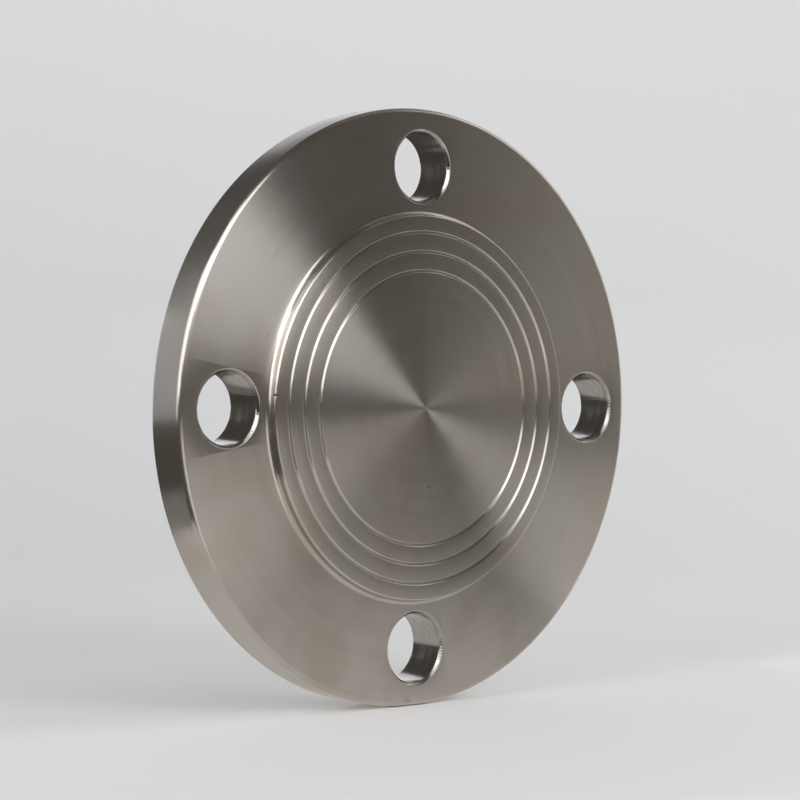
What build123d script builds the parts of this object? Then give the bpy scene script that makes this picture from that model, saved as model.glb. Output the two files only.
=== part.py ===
from build123d import *
import os
from math import cos, pi, radians, sin

os.makedirs("parts", exist_ok=True)

# Blind flange in millimetres, turned and drilled from one stainless blank.
# It stands on its rim with its axis along Y. The origin is the centre of the
# raised gasket face, which faces -Y. Every other feature lies towards +Y.
outer_d = 155.0
overall_t = 14.0
raised_d = 100.0
raised_h = 2.5
root_r = 1.2
face_edge = 0.4
rim_r = 1.3

groove_radii = (35.5, 40.5, 45.5)
groove_w = 0.9
groove_depth = 0.4
groove_floor_w = 0.1

bolt_circle_d = 125.0
bolt_hole_d = 18.0
bolt_count = 4
first_hole_deg = 90.0
mouth_edge = 0.7

# How far a cutter runs past the faces it opens.
past = 1.0


def turned_blank():
    """Ring and raised face: half a section, turned once round the axis."""
    side = outer_d / 2
    face_r = raised_d / 2
    with BuildPart() as blank:
        with BuildSketch(Plane.XY):
            with BuildLine():
                face = Line((0, 0), (face_r - face_edge, 0))
                edge = Line(face @ 1, (face_r, face_edge))
                wall = Line(edge @ 1, (face_r, raised_h - root_r))
                root = RadiusArc(wall @ 1, (face_r + root_r, raised_h), root_r)
                ring = Line(root @ 1, (side - rim_r, raised_h))
                front = RadiusArc(ring @ 1, (side, raised_h + rim_r), -rim_r)
                rim = Line(front @ 1, (side, overall_t - rim_r))
                rear = RadiusArc(rim @ 1, (side - rim_r, overall_t), -rim_r)
                Polyline(rear @ 1, (0, overall_t), (0, 0))
            make_face()
        revolve(axis=Axis.Y)
    return blank.part


def sealing_groove(radius):
    """Ring of metal that one groove takes out of the raised face."""
    half = groove_w / 2
    floor = groove_floor_w / 2
    slope = (half - floor) / groove_depth
    mouth = half + slope * past
    with BuildPart() as groove:
        with BuildSketch(Plane.XY):
            Polygon(
                (radius - mouth, -past),
                (radius + mouth, -past),
                (radius + floor, groove_depth),
                (radius - floor, groove_depth),
                align=None,
            )
        revolve(axis=Axis.Y)
    return groove.part


def bolt_hole():
    """Straight drilling along Y with a small chamfer at both mouths."""
    bore = bolt_hole_d / 2
    mouth = bore + mouth_edge + past
    front = raised_h
    with BuildPart() as hole:
        with BuildSketch(Plane.XY):
            Polygon(
                (0, front - past),
                (mouth, front - past),
                (bore, front + mouth_edge),
                (bore, overall_t - mouth_edge),
                (mouth, overall_t + past),
                (0, overall_t + past),
                align=None,
            )
        revolve(axis=Axis.Y)
    return hole.part


def bolt_holes():
    """The drilling repeated round the bolt circle, one hole at the top."""
    drill = bolt_hole()
    holes = []
    for i in range(bolt_count):
        turn = radians(first_hole_deg) + 2 * pi * i / bolt_count
        x = bolt_circle_d / 2 * cos(turn)
        z = bolt_circle_d / 2 * sin(turn)
        holes.append(Pos(x, 0, z) * drill)
    return holes


def blind_flange():
    body = turned_blank()
    for radius in groove_radii:
        body -= sealing_groove(radius)
    for hole in bolt_holes():
        body -= hole
    return body


export_step(blind_flange(), "parts/blind_flange.step")
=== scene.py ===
from math import cos, pi, radians, sin

import bmesh
import bpy
from mathutils import Matrix, Vector


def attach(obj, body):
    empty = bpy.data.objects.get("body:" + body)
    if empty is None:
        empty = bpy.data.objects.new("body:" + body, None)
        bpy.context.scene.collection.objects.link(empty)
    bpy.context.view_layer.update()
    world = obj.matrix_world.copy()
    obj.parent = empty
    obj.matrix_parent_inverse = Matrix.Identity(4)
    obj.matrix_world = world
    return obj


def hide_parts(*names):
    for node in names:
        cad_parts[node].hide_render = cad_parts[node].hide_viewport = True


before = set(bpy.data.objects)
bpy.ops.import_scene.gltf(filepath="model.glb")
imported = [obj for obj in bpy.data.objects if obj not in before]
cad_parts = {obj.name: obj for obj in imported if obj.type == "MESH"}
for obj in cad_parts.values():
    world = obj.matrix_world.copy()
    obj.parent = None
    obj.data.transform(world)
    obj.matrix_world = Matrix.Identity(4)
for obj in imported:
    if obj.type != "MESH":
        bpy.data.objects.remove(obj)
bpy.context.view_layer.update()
print("frame loaded:", sorted(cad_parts))

mm = 0.001
perMetre = 1000.0
onAxis = 1e-6          # a radius below this is a point on the axis
acrossAxis = (1, 0, 1)  # keeps X and Z, drops the depth along the flange's axis
flangeAxis = (0, 1, 0)
quarterTurn = 0.25     # anisotropic rotation that lays the shine across the marks


def feed(tree, socket, source):
    # links a socket, or sets a plain value on it
    if isinstance(source, bpy.types.NodeSocket):
        tree.links.new(source, socket)
    else:
        socket.default_value = source


def addNode(tree, kind, inputs=None, **values):
    node = tree.nodes.new(kind)
    for key, value in values.items():
        setattr(node, key, value)
    for socket, source in (inputs or {}).items():
        feed(tree, node.inputs[socket], source)
    return node


def mathNode(tree, operation, *terms):
    node = addNode(tree, "ShaderNodeMath", dict(enumerate(terms)), operation=operation)
    return node.outputs[0]


def vectorNode(tree, operation, *terms):
    node = addNode(tree, "ShaderNodeVectorMath", dict(enumerate(terms)), operation=operation)
    return node.outputs["Value"] if operation == "LENGTH" else node.outputs["Vector"]


def remap(tree, value, low, high, to=(0.0, 1.0), smooth=True):
    node = addNode(tree, "ShaderNodeMapRange", {
        "Value": value, "From Min": low, "From Max": high, "To Min": to[0], "To Max": to[1]})
    node.interpolation_type = "SMOOTHSTEP" if smooth else "LINEAR"
    return node.outputs["Result"]


def splitNode(tree, place):
    return addNode(tree, "ShaderNodeSeparateXYZ", {"Vector": place}).outputs


def noise(tree, place, scale, detail, roughness=0.5, distortion=0.0):
    node = addNode(tree, "ShaderNodeTexNoise", {
        "Vector": place, "Scale": scale, "Detail": detail, "Roughness": roughness,
        "Distortion": distortion})
    return node.outputs["Fac"]


def newGroup(name, inputs, outputs):
    # an empty shader group with named sockets: (name, kind, default)
    tree = bpy.data.node_groups.new(name, "ShaderNodeTree")
    for label, kind, value in inputs:
        made = tree.interface.new_socket(label, in_out="INPUT", socket_type="NodeSocket" + kind)
        if value is not None:
            made.default_value = value
    for label, kind in outputs:
        tree.interface.new_socket(label, in_out="OUTPUT", socket_type="NodeSocket" + kind)
    return tree, addNode(tree, "NodeGroupInput").outputs


def useGroup(tree, group, inputs):
    return addNode(tree, "ShaderNodeGroup", inputs, node_tree=group).outputs


def addObject(name, mesh):
    made = bpy.data.objects.new(name, mesh)
    bpy.context.scene.collection.objects.link(made)
    return made


# radii from the axis, depths from the gasket face, which looks along -Y
flangeSizes = {
    "rimRadius": 77.5,
    "thickness": 14.0,
    "rimRound": 1.3,
    "faceRadius": 50.0,
    "faceHeight": 2.5,
    "rootRadius": 1.2,
    "faceEdge": 0.4,
    "faceEdgeSoften": 0.14,
    "grooveRadii": (35.5, 40.5, 45.5),
    "grooveWidth": 0.9,
    "grooveDepth": 0.4,
    "grooveFloor": 0.1,
    "grooveLipSoften": 0.06,
    "grooveFloorSoften": 0.05,
    "holes": 4,
    "holeRadius": 9.0,
    "boltCircle": 62.5,
    "mouth": 0.7,
    "mouthSoften": 0.16,
    "mouthRise": 0.02,      # how far the mouth's edge sits inside the ring's face
    "drillPast": 2.0,       # how far the drill runs past both faces
    "drillClear": 0.001,
    "wallMargin": 0.04,     # drilled finish reaches this far past the mouth
    "turns": 540,
    "drillTurns": 192,
    "arcSteps": 10,
    "smoothAngle": 24,
}

cornerSteps = 4
cornerReach = 0.45     # most of a side that a soft corner may use


def arcPoints(centre, radius, start, end, steps):
    # a run of points on a circle, angles in degrees
    out = []
    for i in range(steps + 1):
        a = radians(start + (end - start) * i / steps)
        out.append((centre[0] + radius * cos(a), centre[1] + radius * sin(a)))
    return out


def softCorners(points, radii):
    # rounds the corners of an open line; a radius of 0 keeps one sharp
    out = [points[0]]
    for i in range(1, len(points) - 1):
        here = Vector(points[i])
        if radii[i] <= 0:
            out.append(tuple(here))
            continue
        back = Vector(points[i - 1]) - here
        ahead = Vector(points[i + 1]) - here
        reach = min(radii[i], back.length * cornerReach, ahead.length * cornerReach)
        a = here + back.normalized() * reach
        b = here + ahead.normalized() * reach
        for k in range(cornerSteps + 1):
            t = k / cornerSteps
            out.append(tuple(a * (1 - t) ** 2 + here * 2 * t * (1 - t) + b * t * t))
    out.append(points[-1])
    return out


def blankProfile(sizes):
    # half section: from the axis over the gasket face, round the rim, back to the axis
    rim, thick, corner = sizes["rimRadius"], sizes["thickness"], sizes["rimRound"]
    face, height = sizes["faceRadius"], sizes["faceHeight"]
    root, edge, steps = sizes["rootRadius"], sizes["faceEdge"], sizes["arcSteps"]
    half, floor, depth = sizes["grooveWidth"] / 2, sizes["grooveFloor"] / 2, sizes["grooveDepth"]
    lip, foot = sizes["grooveLipSoften"], sizes["grooveFloorSoften"]
    line = [(0.0, 0.0)]
    softness = [0]
    for r in sizes["grooveRadii"]:
        line += [(r - half, 0.0), (r - floor, depth), (r + floor, depth), (r + half, 0.0)]
        softness += [lip, foot, foot, lip]
    line += [(face - edge, 0.0), (face, edge)]
    softness += [sizes["faceEdgeSoften"]] * 2
    rest = arcPoints((face + root, height - root), root, 180, 90, steps)
    rest += arcPoints((rim - corner, height + corner), corner, -90, 0, steps)
    rest += arcPoints((rim - corner, thick - corner), corner, 0, 90, steps)
    rest.append((0.0, thick))
    return softCorners(line + rest, softness + [0] * len(rest))


def drillProfile(sizes):
    # the metal one hole takes out, from before the ring's front to behind its back
    r, mouth, soft = sizes["holeRadius"], sizes["mouth"], sizes["mouthSoften"]
    front, back = sizes["faceHeight"], sizes["thickness"]
    past, clear, rise = sizes["drillPast"], sizes["drillClear"], sizes["mouthRise"]
    wide = r + mouth + soft * 2
    line = [
        (0.0, front - past), (wide, front - past), (wide, front - clear),
        (r + mouth, front + rise), (r, front + mouth),
        (r, back - mouth), (r + mouth, back - rise),
        (wide, back + clear), (wide, back + past), (0.0, back + past),
    ]
    return softCorners(line, [0, 0, 0, soft, soft, soft, soft, 0, 0, 0])


def turnProfile(name, profile, turns):
    # spins a half section round the Y axis into a closed mesh, normals outward
    verts, rows = [], []
    for r, y in profile:
        count = 1 if r < onAxis else turns
        rows.append(list(range(len(verts), len(verts) + count)))
        for i in range(count):
            a = 2 * pi * i / turns
            verts.append((r * cos(a) * mm, y * mm, r * sin(a) * mm))
    faces = []
    for near, far in zip(rows, rows[1:]):
        for i in range(turns):
            j = i + 1
            side = [near[i % len(near)], near[j % len(near)],
                    far[j % len(far)], far[i % len(far)]]
            faces.append(list(dict.fromkeys(side)))
    mesh = bpy.data.meshes.new(name)
    mesh.from_pydata(verts, [], faces)
    work = bmesh.new()
    work.from_mesh(mesh)
    bmesh.ops.recalc_face_normals(work, faces=work.faces)
    if work.calc_volume(signed=True) < 0:
        bmesh.ops.reverse_faces(work, faces=work.faces)
    work.to_mesh(mesh)
    work.free()
    return addObject(name, mesh)


def drillingTree():
    # repeats one drill round the bolt circle, takes it out of the blank and
    # gives the drilled walls their own finish
    tree = bpy.data.node_groups.new("boltDrilling", "GeometryNodeTree")
    sockets = (
        ("Geometry", "Geometry"), ("Drill", "Object"), ("Holes", "Int"),
        ("Bolt circle radius", "Float"), ("Mouth radius", "Float"),
        ("Turned steel", "Material"), ("Drilled steel", "Material"),
    )
    for label, kind in sockets:
        tree.interface.new_socket(label, in_out="INPUT", socket_type="NodeSocket" + kind)
    tree.interface.new_socket("Geometry", in_out="OUTPUT", socket_type="NodeSocketGeometry")
    given = addNode(tree, "NodeGroupInput").outputs
    ring = addNode(tree, "GeometryNodeMeshCircle", {
        "Vertices": given["Holes"], "Radius": given["Bolt circle radius"]})
    upright = addNode(tree, "GeometryNodeTransform", {
        "Geometry": ring.outputs["Mesh"], "Rotation": (pi / 2, 0, 0)})
    cut = addNode(tree, "GeometryNodeObjectInfo", {"Object": given["Drill"]})
    repeat = addNode(tree, "GeometryNodeInstanceOnPoints", {
        "Points": upright.outputs["Geometry"], "Instance": cut.outputs["Geometry"]})
    real = addNode(tree, "GeometryNodeRealizeInstances", {"Geometry": repeat.outputs["Instances"]})
    taken = addNode(tree, "GeometryNodeMeshBoolean", {
        "Mesh 1": given["Geometry"], "Mesh 2": real.outputs["Geometry"]},
        operation="DIFFERENCE", solver="EXACT")
    here = addNode(tree, "GeometryNodeInputPosition").outputs["Position"]
    flat = vectorNode(tree, "MULTIPLY", here, acrossAxis)
    nearest = addNode(tree, "GeometryNodeSampleNearest", {
        "Geometry": upright.outputs["Geometry"], "Sample Position": flat})
    centre = addNode(tree, "GeometryNodeSampleIndex", {
        "Geometry": upright.outputs["Geometry"], "Value": here,
        "Index": nearest.outputs["Index"]}, data_type="FLOAT_VECTOR")
    away = vectorNode(tree, "LENGTH", vectorNode(tree, "SUBTRACT", flat, centre.outputs["Value"]))
    inHole = mathNode(tree, "LESS_THAN", away, given["Mouth radius"])
    done = addNode(tree, "GeometryNodeRealizeInstances", {"Geometry": taken.outputs["Mesh"]})
    plain = addNode(tree, "GeometryNodeSetMaterial", {
        "Geometry": done.outputs["Geometry"], "Material": given["Turned steel"]})
    walls = addNode(tree, "GeometryNodeSetMaterial", {
        "Geometry": plain.outputs["Geometry"], "Selection": inHole,
        "Material": given["Drilled steel"]})
    addNode(tree, "NodeGroupOutput", {"Geometry": walls.outputs["Geometry"]})
    return tree


def drillBlank(body, cutter, sizes, turned, drilled):
    # runs the tree once and keeps the result as a plain mesh
    drilling = body.modifiers.new("boltHoles", "NODES")
    drilling.node_group = drillingTree()
    names = {item.name: item.identifier for item in drilling.node_group.interface.items_tree
             if item.in_out == "INPUT"}
    mouthRadius = sizes["holeRadius"] + sizes["mouth"] + sizes["wallMargin"]
    settings = {
        "Drill": cutter,
        "Holes": sizes["holes"],
        "Bolt circle radius": sizes["boltCircle"] * mm,
        "Mouth radius": mouthRadius * mm,
        "Turned steel": turned,
        "Drilled steel": drilled,
    }
    for label, value in settings.items():
        drilling[names[label]] = value
    graph = bpy.context.evaluated_depsgraph_get()
    plain = bpy.data.meshes.new_from_object(body.evaluated_get(graph))
    body.modifiers.clear()
    body.data = plain
    bpy.data.objects.remove(cutter)


def shadeSmooth(piece, degrees):
    # smooth shading with the real edges kept sharp
    work = bmesh.new()
    work.from_mesh(piece.data)
    for side in work.faces:
        side.smooth = True
    for edge in work.edges:
        if len(edge.link_faces) == 2:
            edge.smooth = edge.calc_face_angle(0) < radians(degrees)
    work.to_mesh(piece.data)
    work.free()


# fine concentric marks: noise stretched round an axis, with wider bands over it
marksLook = {
    "pitch": 0.2,
    "waver": 1.0,
    "detail": 3.0,
    "roughness": 0.7,
    "bandStretch": (0.2, 0.5, 0.2),
    "bandDetail": 2.0,
}


def ringMarks():
    # position in mm; pitch is the distance between marks, waver breaks them up along their way
    tree, given = newGroup("ringMarks", [
        ("Position", "Vector", None), ("Pitch", "Float", marksLook["pitch"]),
        ("Waver", "Float", marksLook["waver"])], [("Marks", "Float"), ("Bands", "Float")])
    split = splitNode(tree, given["Position"])
    radius = vectorNode(tree, "LENGTH", vectorNode(tree, "MULTIPLY", given["Position"], acrossAxis))
    angle = mathNode(tree, "ARCTAN2", split["Z"], split["X"])
    along = mathNode(tree, "MULTIPLY", angle, given["Waver"])
    depth = mathNode(tree, "DIVIDE", split["Y"], given["Pitch"])
    across = mathNode(tree, "DIVIDE", radius, given["Pitch"])
    fine = addNode(tree, "ShaderNodeCombineXYZ", {"X": across, "Y": along, "Z": depth})
    broad = vectorNode(tree, "MULTIPLY", fine.outputs["Vector"], marksLook["bandStretch"])
    addNode(tree, "NodeGroupOutput", {
        "Marks": noise(tree, fine.outputs["Vector"], 1.0, marksLook["detail"], marksLook["roughness"]),
        "Bands": noise(tree, broad, 1.0, marksLook["bandDetail"])})
    return tree


# stains in soft clouds, and tiny scattered pits where a second noise allows them
wearLook = {
    "stainScale": 0.05,
    "stainDetail": 2.0,
    "stainDistortion": 0.3,
    "stainRange": (0.4, 0.75),
    "pitScale": 0.16,
    "pitPatchScale": 0.11,
    "pitPatchDetail": 1.0,
    "pitPatchRange": (0.52, 0.75),
    "pitSize": (0.0, 0.075),
    "pitEdge": (1.0, 0.5),
}
smallest = 0.0001      # keeps a division away from zero


def handlingMarks():
    # position in mm
    tree, given = newGroup("handlingMarks", [("Position", "Vector", None)],
                           [("Stain", "Float"), ("Pits", "Float")])
    place = given["Position"]
    cloud = noise(tree, place, wearLook["stainScale"], wearLook["stainDetail"],
                  distortion=wearLook["stainDistortion"])
    patch = noise(tree, place, wearLook["pitPatchScale"], wearLook["pitPatchDetail"])
    dots = addNode(tree, "ShaderNodeTexVoronoi", {"Vector": place, "Scale": wearLook["pitScale"]})
    limit = remap(tree, patch, *wearLook["pitPatchRange"], wearLook["pitSize"])
    near = mathNode(tree, "DIVIDE", dots.outputs["Distance"],
                    mathNode(tree, "ADD", limit, smallest))
    addNode(tree, "NodeGroupOutput", {
        "Stain": remap(tree, cloud, *wearLook["stainRange"]),
        "Pits": remap(tree, near, *wearLook["pitEdge"])})
    return tree


def holeFrame():
    # position seen from the nearest bolt hole's axis; the four holes lie on the X and Z axes
    tree, given = newGroup("holeFrame", [
        ("Position", "Vector", None), ("Circle", "Float", flangeSizes["boltCircle"])],
        [("Local", "Vector")])
    split = splitNode(tree, given["Position"])
    wide = mathNode(tree, "ABSOLUTE", split["X"])
    tall = mathNode(tree, "ABSOLUTE", split["Z"])
    sideways = mathNode(tree, "GREATER_THAN", wide, tall)
    upward = mathNode(tree, "SUBTRACT", 1.0, sideways)
    centre = {"Y": 0.0}
    for side, chosen in (("X", sideways), ("Z", upward)):
        way = mathNode(tree, "MULTIPLY", mathNode(tree, "SIGN", split[side]), chosen)
        centre[side] = mathNode(tree, "MULTIPLY", way, given["Circle"])
    axis = addNode(tree, "ShaderNodeCombineXYZ", centre).outputs["Vector"]
    addNode(tree, "NodeGroupOutput", {
        "Local": vectorNode(tree, "SUBTRACT", given["Position"], axis)})
    return tree


marksGroup = ringMarks()
handlingGroup = handlingMarks()
holeGroup = holeFrame()


def newMaterial(name):
    # an empty node tree for one finish
    made = bpy.data.materials.new(name)
    made.use_nodes = True
    made.node_tree.nodes.clear()
    return made, made.node_tree


def millimetres(tree):
    place = addNode(tree, "ShaderNodeTexCoord")
    scale = addNode(tree, "ShaderNodeMapping", {
        "Vector": place.outputs["Object"], "Scale": (perMetre, perMetre, perMetre)})
    return scale.outputs["Vector"]


def colourMix(tree, factor, first, second):
    node = addNode(tree, "ShaderNodeMix", {"Factor": factor, "A": first, "B": second},
                   data_type="RGBA")
    return node.outputs["Result"]


def brushedShader(tree, look, colour, rough, height, around):
    # metal whose shine is drawn out across marks that run along the tangent
    bump = addNode(tree, "ShaderNodeBump", {"Height": height, "Distance": mm, "Strength": 1.0})
    steel = addNode(tree, "ShaderNodeBsdfPrincipled", {
        "Base Color": colour, "Metallic": 1.0, "Roughness": rough,
        "Normal": bump.outputs["Normal"], "Anisotropic": look["anisotropy"],
        "Anisotropic Rotation": quarterTurn, "Tangent": around})
    addNode(tree, "ShaderNodeOutputMaterial", {"Surface": steel.outputs["BSDF"]})


turnedLook = {
    "colour": (0.565, 0.535, 0.500, 1.0),
    "stain": (0.470, 0.415, 0.350, 1.0),
    "stainAmount": 0.6,
    "stainRoughness": 0.02,
    "roughness": 0.228,
    "roughnessSpread": 0.015,
    "anisotropy": 0.97,
    "toolPitch": 0.5,
    "waver": 1.5,
    "markHeight": 0.0002,
    "markRange": (0.25, 0.75),
    "bandRange": (0.3, 0.7),
    "bandShade": (0.965, 1.02),
    "pitShade": 0.7,
    "pitDepth": 0.03,
    "pitInner": 0.4,       # part of a pit's radius that is at full depth
    "pitReach": 1.0,       # pits stop this far behind the gasket face
    # single pits: across, up, radius
    "pits": ((-3.4, 1.6, 0.30), (2.4, -4.2, 0.34), (-5.6, -1.8, 0.26),
             (-1.2, 6.1, 0.28), (1.6, -20.5, 0.42), (-49.7, 3.3, 0.45)),
}


def facePits(tree, place, look):
    # single pits on the gasket face and on its edge
    flat = vectorNode(tree, "MULTIPLY", place, acrossAxis)
    front = mathNode(tree, "LESS_THAN", splitNode(tree, place)["Y"], look["pitReach"])
    total = 0.0
    for x, z, size in look["pits"]:
        away = vectorNode(tree, "LENGTH", vectorNode(tree, "SUBTRACT", flat, (x, 0, z)))
        total = mathNode(tree, "MAXIMUM", total, remap(tree, away, size, size * look["pitInner"]))
    return mathNode(tree, "MULTIPLY", total, front)


def turnedSteel(look):
    # faced on a lathe: brushed round the axis, so light fans out from the middle
    made, tree = newMaterial("turnedSteel")
    place = millimetres(tree)
    marks = useGroup(tree, marksGroup, {
        "Position": place, "Pitch": look["toolPitch"], "Waver": look["waver"]})
    wear = useGroup(tree, handlingGroup, {"Position": place})
    pitted = mathNode(tree, "MAXIMUM", wear["Pits"], facePits(tree, place, look))
    stained = mathNode(tree, "MULTIPLY", wear["Stain"], look["stainAmount"])
    banded = remap(tree, marks["Bands"], *look["bandRange"], look["bandShade"], smooth=False)
    brightness = mathNode(tree, "SUBTRACT", banded,
                          mathNode(tree, "MULTIPLY", pitted, look["pitShade"]))
    shade = addNode(tree, "ShaderNodeVectorMath", {
        "Vector": colourMix(tree, stained, look["colour"], look["stain"]),
        "Scale": brightness}, operation="SCALE")
    smoothest = look["roughness"] - look["roughnessSpread"]
    roughest = look["roughness"] + look["roughnessSpread"]
    rough = remap(tree, marks["Marks"], *look["markRange"], (smoothest, roughest), smooth=False)
    rough = mathNode(tree, "ADD", rough,
                     mathNode(tree, "MULTIPLY", wear["Stain"], look["stainRoughness"]))
    height = mathNode(tree, "MULTIPLY", marks["Bands"], look["markHeight"])
    height = mathNode(tree, "SUBTRACT", height,
                      mathNode(tree, "MULTIPLY", pitted, look["pitDepth"]))
    around = vectorNode(tree, "CROSS_PRODUCT", place, flangeAxis)
    brushedShader(tree, look, shade.outputs["Vector"], rough, height, around)
    return made


drilledLook = {
    "colour": (0.44, 0.42, 0.395, 1.0),
    "markColour": (0.352, 0.336, 0.316, 1.0),
    "markRange": (0.35, 0.75),
    "roughness": (0.12, 0.23),
    "anisotropy": 0.3,
    "pitch": 0.35,
    "waver": 3.0,
    "bandRange": (0.3, 0.7),
    "bandHeight": 0.012,
    "ticks": 84.0,
    "tickHeight": 0.02,
    "tickFrom": (0.06, 0.25),     # past the hole's radius, where the mouth opens
    "tickPatchScale": 0.22,
    "tickPatchDetail": 1.0,
    "tickPatchRange": (0.35, 0.6),
    "tickPatch": (0.2, 1.0),
    "mouthPolish": 0.06,
}


def drilledSteel(look, sizes):
    # hole walls: marks run round each hole, chatter ticks on the mouth
    made, tree = newMaterial("drilledSteel")
    place = millimetres(tree)
    local = useGroup(tree, holeGroup, {"Position": place, "Circle": sizes["boltCircle"]})["Local"]
    marks = useGroup(tree, marksGroup, {
        "Position": local, "Pitch": look["pitch"], "Waver": look["waver"]})
    split = splitNode(tree, local)
    away = vectorNode(tree, "LENGTH", vectorNode(tree, "MULTIPLY", local, acrossAxis))
    angle = mathNode(tree, "ARCTAN2", split["Z"], split["X"])
    wave = mathNode(tree, "SINE", mathNode(tree, "MULTIPLY", angle, look["ticks"]))
    starts, fullyOpen = (sizes["holeRadius"] + past for past in look["tickFrom"])
    mouth = remap(tree, away, starts, fullyOpen)
    patchy = remap(tree, noise(tree, place, look["tickPatchScale"], look["tickPatchDetail"]),
                   *look["tickPatchRange"], look["tickPatch"])
    ticks = mathNode(tree, "MULTIPLY", mathNode(tree, "MULTIPLY", wave, mouth), patchy)
    height = mathNode(tree, "MULTIPLY", ticks, look["tickHeight"])
    height = mathNode(tree, "ADD", height,
                      mathNode(tree, "MULTIPLY", marks["Bands"], look["bandHeight"]))
    rough = remap(tree, marks["Bands"], *look["bandRange"], look["roughness"], smooth=False)
    rough = mathNode(tree, "SUBTRACT", rough,
                     mathNode(tree, "MULTIPLY", mouth, look["mouthPolish"]))
    colour = colourMix(tree, remap(tree, marks["Marks"], *look["markRange"]),
                       look["colour"], look["markColour"])
    around = vectorNode(tree, "CROSS_PRODUCT", local, flangeAxis)
    brushedShader(tree, look, colour, rough, height, around)
    return made


flange = turnProfile("flange", blankProfile(flangeSizes), flangeSizes["turns"])
drill = turnProfile("drill", drillProfile(flangeSizes), flangeSizes["drillTurns"])
drillBlank(flange, drill, flangeSizes, turnedSteel(turnedLook), drilledSteel(drilledLook, flangeSizes))
shadeSmooth(flange, flangeSizes["smoothAngle"])
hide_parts("blind_flange")
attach(flange, "root")
print("flange turned and drilled:", len(flange.data.polygons), "faces")


# a floor that bends up into a backdrop behind the flange
sweep = {
    "floor": -77.5,
    "front": 1400.0,
    "behind": 420.0,
    "bend": 1300.0,
    "bendSteps": 16,
    "half": 2200.0,
    "height": 1700.0,
    "turn": -41.8,
    "colour": (0.8, 0.8, 0.8, 1.0),
    "roughness": 0.9,
}


def stripFaces(steps):
    # faces of a strip whose points come in pairs, one pair for each step
    return [(2 * i, 2 * i + 1, 2 * i + 3, 2 * i + 2) for i in range(steps)]


def paperFinish():
    made = bpy.data.materials.new("paper")
    made.use_nodes = True
    shader = made.node_tree.nodes["Principled BSDF"]
    shader.inputs["Base Color"].default_value = sweep["colour"]
    shader.inputs["Roughness"].default_value = sweep["roughness"]
    return made


def paperSweep():
    turn = Matrix.Rotation(radians(sweep["turn"]), 3, "Z")
    line = [(-sweep["front"], 0.0)]
    line += [(sweep["behind"] + x, sweep["bend"] + y)
             for x, y in arcPoints((0, 0), sweep["bend"], -90, 0, sweep["bendSteps"])]
    line.append((sweep["behind"] + sweep["bend"], sweep["height"]))
    verts = []
    for far, up in line:
        for across in (-sweep["half"], sweep["half"]):
            verts.append(turn @ Vector((across, far, up + sweep["floor"])) * mm)
    mesh = bpy.data.meshes.new("sweep")
    mesh.from_pydata(verts, [], stripFaces(len(line) - 1))
    for side in mesh.polygons:
        side.use_smooth = True
    mesh.materials.append(paperFinish())
    paper = addObject("sweep", mesh)
    paper.visible_glossy = False


paperSweep()
print("paper sweep laid")


def towards(azimuth, elevation):
    # unit vector from the flange: azimuth 0 is straight out of the gasket face
    a, e = radians(azimuth), radians(elevation)
    return Vector((sin(a) * cos(e), -cos(a) * cos(e), sin(e)))


# panels round the flange that only its steel mirrors, in four strengths
glows = {"bright": 2.75, "soft": 1.2, "paper": 0.6, "faint": 0.25}
tints = {"neutral": (1.0, 1.0, 1.0), "warm": (1.04, 1.0, 0.95), "cool": (0.98, 1.0, 1.06)}
panelShape = {"distance": 1000.0, "edgeSteps": 6, "rings": (0.66, 0.33)}

# corners are azimuth and elevation in degrees, seen from the flange
panels = [
    {"name": "key", "glow": "bright", "tint": "neutral",
     "corners": ((-24, 42), (4, 42), (15, 31), (19, 22), (25, 13), (-10, 13), (-16, 22), (-24, 22))},
    {"name": "keyFoot", "glow": "soft", "tint": "neutral",
     "corners": ((0, 13), (25, 13), (27, 3), (4, 3))},
    {"name": "leftStrip", "glow": "bright", "tint": "neutral",
     "corners": ((-56, 46), (-40, 56), (-24, 54), (-24, 20), (-42, 8), (-56, 12))},
    {"name": "left", "glow": "bright", "tint": "neutral",
     "corners": ((-88, 46), (-58, 46), (-58, 4), (-88, 0))},
    {"name": "farLeft", "glow": "soft", "tint": "cool",
     "corners": ((-124, 36), (-112, 40), (-88, 46), (-88, -4), (-124, -4))},
    {"name": "backLow", "glow": "soft", "tint": "cool",
     "corners": ((-180, 18), (-152, 18), (-152, -4), (-180, -4))},
    {"name": "backRight", "glow": "soft", "tint": "cool",
     "corners": ((118, 42), (160, 36), (168, 6), (118, 4))},
    {"name": "right", "glow": "soft", "tint": "warm",
     "corners": ((50, 48), (100, 44), (100, -4), (66, -4), (60, 22))},
    {"name": "topRight", "glow": "faint", "tint": "warm",
     "corners": ((30, 75), (110, 75), (100, 50), (44, 50))},
    {"name": "overhead", "glow": "faint", "tint": "warm",
     "corners": ((-180, 78), (-90, 78), (0, 78), (90, 78))},
]

# the same on the floor: start and end azimuth, near and far distance
floorPanels = [
    {"name": "floorNear", "glow": "paper", "span": (-180, 180), "reach": (1, 140)},
    {"name": "floorBackLeft", "glow": "faint", "span": (-160, -105), "reach": (140, 205)},
    {"name": "floorFront", "glow": "soft", "span": (-30, 20), "reach": (140, 990)},
    {"name": "floorFrontRight", "glow": "faint", "span": (20, 65), "reach": (140, 990)},
    {"name": "floorRight", "glow": "soft", "span": (65, 95), "reach": (140, 990)},
]
floorShape = {"steps": 36, "lift": 0.3, "tint": "warm"}


def glowMaterial(name, colour, glow):
    made, tree = newMaterial(name)
    light = addNode(tree, "ShaderNodeEmission", {"Color": (*colour, 1.0), "Strength": glow})
    addNode(tree, "ShaderNodeOutputMaterial", {"Surface": light.outputs["Emission"]})
    return made


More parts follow.
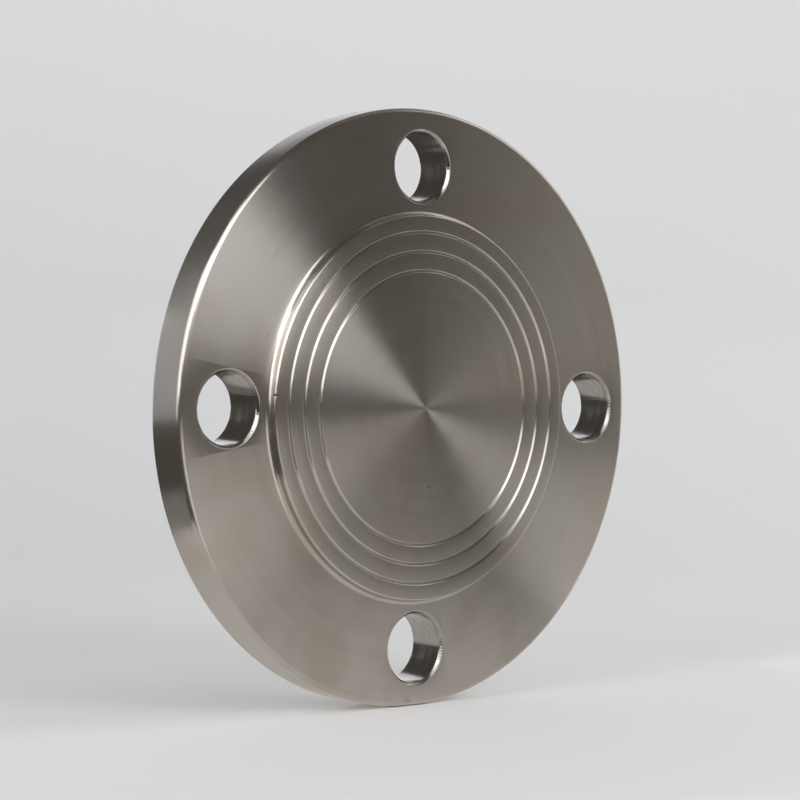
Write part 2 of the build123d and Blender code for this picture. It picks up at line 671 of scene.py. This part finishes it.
def reflector(name, verts, faces, glow, tint):
    # seen in the metal's reflections and nowhere else
    mesh = bpy.data.meshes.new(name)
    mesh.from_pydata([v * mm for v in verts], [], faces)
    mesh.materials.append(glowMaterial(name, tints[tint], glows[glow]))
    thing = addObject(name, mesh)
    thing.visible_camera = False
    thing.visible_diffuse = False
    thing.visible_shadow = False
    thing.visible_transmission = False


def between(start, end, part):
    return tuple(a + (b - a) * part for a, b in zip(start, end))


def addPanel(panel):
    # a fan between finely divided edges, bent round the flange
    corners, steps = panel["corners"], panelShape["edgeSteps"]
    middle = tuple(sum(side) / len(corners) for side in zip(*corners))
    line = []
    for here, ahead in zip(corners, corners[1:] + corners[:1]):
        line += [between(here, ahead, k / steps) for k in range(steps)]
    rings = [line] + [[between(middle, spot, part) for spot in line]
                      for part in panelShape["rings"]]
    verts = [towards(*spot) * panelShape["distance"] for ring in rings for spot in ring]
    verts.append(towards(*middle) * panelShape["distance"])
    n = len(line)
    faces = []
    for i in range(n):
        j = (i + 1) % n
        faces += [(i, j, n + j, n + i), (n + i, n + j, 2 * n + j, 2 * n + i),
                  (2 * n + i, 2 * n + j, 3 * n)]
    reflector(panel["name"], verts, faces, panel["glow"], panel["tint"])


def addFloorPanel(panel):
    start, end = panel["span"]
    steps = floorShape["steps"]
    lift = Vector((0, 0, sweep["floor"] + floorShape["lift"]))
    verts = []
    for i in range(steps + 1):
        way = towards(start + (end - start) * i / steps, 0)
        verts += [way * reach + lift for reach in panel["reach"]]
    reflector(panel["name"], verts, stripFaces(steps), panel["glow"], floorShape["tint"])


for panel in panels:
    addPanel(panel)
for panel in floorPanels:
    addFloorPanel(panel)
print("reflectors set:", len(panels) + len(floorPanels))


# soft lamps for the paper; way is azimuth and elevation, power in watts
lampDistance = 1100.0
flangeFoot = Vector((0, 40, -77))
lamps = [
    {"name": "keyLamp", "way": (8, 24), "size": (560, 600), "power": 2.8},
    {"name": "rightLamp", "way": (68, 24), "size": (560, 320), "power": 2.6},
    {"name": "leftLamp", "way": (-80, 20), "size": (450, 500), "power": 3.2},
]


def areaLamp(lamp):
    place = towards(*lamp["way"]) * lampDistance
    light = bpy.data.lights.new(lamp["name"], "AREA")
    light.shape = "RECTANGLE"
    light.size, light.size_y = (side * mm for side in lamp["size"])
    light.energy = lamp["power"]
    holder = addObject(lamp["name"], light)
    holder.location = place * mm
    holder.rotation_euler = (flangeFoot - place).to_track_quat("-Z", "Y").to_euler()
    holder.visible_glossy = False
    holder.visible_camera = False


for lamp in lamps:
    areaLamp(lamp)
print("lamps hung:", len(lamps))


# bright for the paper, brightest near the horizon; dim for what the steel mirrors
room = {
    "paperColour": (0.985, 0.99, 1.0, 1.0),
    "paperStrength": (1.72, 0.2),      # at the horizon, and at the height where it levels off
    "levelsOff": 0.9,
    "mirroredColour": (1.08, 1.0, 0.88, 1.0),
    "mirroredStrength": 0.085,
}


def roomWorld():
    world = bpy.data.worlds.new("room")
    bpy.context.scene.world = world
    world.use_nodes = True
    tree = world.node_tree
    tree.nodes.clear()
    ray = addNode(tree, "ShaderNodeLightPath")
    place = addNode(tree, "ShaderNodeTexCoord")
    height = splitNode(tree, place.outputs["Generated"])["Z"]
    bright = addNode(tree, "ShaderNodeBackground", {
        "Color": room["paperColour"],
        "Strength": remap(tree, height, 0.0, room["levelsOff"], room["paperStrength"])})
    dim = addNode(tree, "ShaderNodeBackground", {
        "Color": room["mirroredColour"], "Strength": room["mirroredStrength"]})
    mix = addNode(tree, "ShaderNodeMixShader", {
        0: ray.outputs["Is Glossy Ray"], 1: bright.outputs[0], 2: dim.outputs[0]})
    addNode(tree, "ShaderNodeOutputWorld", {"Surface": mix.outputs[0]})


roomWorld()
print("room lit")


# place in mm, angles in degrees, lens and sensor in mm, clip in metres
shot = {
    "place": (-433.0, -473.7, 14.2),
    "azimuth": -41.836,
    "drop": 1.088,
    "roll": 0.8946,
    "lens": 111.6,
    "sensor": 36,
    "clip": (0.01, 20),
}


def addCamera():
    data = bpy.data.cameras.new("camera")
    data.lens = shot["lens"]
    data.sensor_width = shot["sensor"]
    data.clip_start, data.clip_end = shot["clip"]
    holder = addObject("camera", data)
    look = Matrix.Rotation(radians(shot["azimuth"]), 4, "Z")
    tip = Matrix.Rotation(radians(90 - shot["drop"]), 4, "X")
    roll = Matrix.Rotation(radians(shot["roll"]), 4, "Z")
    holder.matrix_world = Matrix.Translation(Vector(shot["place"]) * mm) @ look @ tip @ roll
    bpy.context.scene.camera = holder


addCamera()
bpy.context.scene.view_settings.view_transform = "Standard"
bpy.context.scene.view_settings.look = "None"
print("camera placed")
